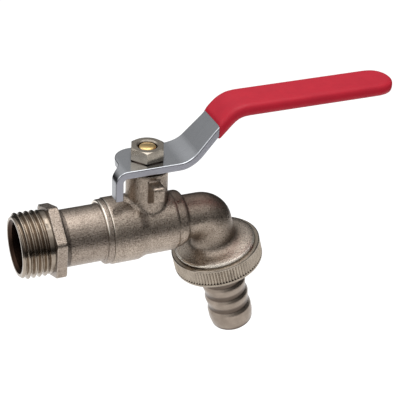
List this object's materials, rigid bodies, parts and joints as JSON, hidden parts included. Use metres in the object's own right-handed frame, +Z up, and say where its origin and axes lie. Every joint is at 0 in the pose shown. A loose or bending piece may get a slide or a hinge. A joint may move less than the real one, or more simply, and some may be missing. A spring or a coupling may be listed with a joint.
{
  "type": "hose tap",
  "caption": "Quarter-turn ball-valve hose tap with a threaded inlet, bent steel lever in a plastic sleeve, angled spout and a barbed hose tail held by a knurled union nut.",
  "frame": {"origin": "on the inlet axis, where the full inlet thread begins", "axes": "+X follows the water from the inlet towards the spout, +Z is up along the stem, -Y is the side the picture shows"},
  "size_m": [0.1271, 0.0296, 0.0867],
  "materials": {
    "blasted_nickel": "sand-blasted nickel plate on brass",
    "turned_nickel": "turned and nickel plated brass",
    "zinc_steel": "bright zinc plated steel",
    "red_sleeve": "glossy dipped plastic",
    "bare_brass": "turned brass",
    "chromed_ball": "polished chrome",
    "white_seal": "PTFE",
    "black_rubber": "matte rubber"
  },
  "bodies": {
    "body": {"valve_body": "blasted_nickel", "inlet_tail": "blasted_nickel", "inlet_seat": "white_seal", "outlet_seat": "white_seal", "thrust_washer": "white_seal", "stem_packing": "white_seal", "gland_nut": "bare_brass"},
    "handle": {"lever": "zinc_steel", "grip_sleeve": "red_sleeve", "lever_nut": "zinc_steel", "stem": "bare_brass", "ball": "chromed_ball"},
    "hose_end": {"hose_tail": "blasted_nickel", "union_gasket": "black_rubber"},
    "union_ring": {"union_nut": "turned_nickel"}
  },
  "joints": [
    {"name": "lever_turn", "type": "hinge", "parent": "body", "child": "handle", "pos_m": [0.0418, 0, 0], "axis": [0, 0, 1], "range_deg": [-90, 0]},
    {"name": "hose_end_slide", "type": "slide", "parent": "body", "child": "hose_end", "axis": [0.2419, 0, -0.9703], "range_m": [0, 0.00363]},
    {"name": "union_ring_turn", "type": "hinge", "parent": "hose_end", "child": "union_ring", "pos_m": [0.0633, 0, 0], "axis": [0.2419, 0, -0.9703], "range_deg": [0, 720]}
  ],
  "couplings": [
    {"joint": "union_ring_turn", "follows": "hose_end_slide", "rad_per_m": 3463.7}
  ]
}
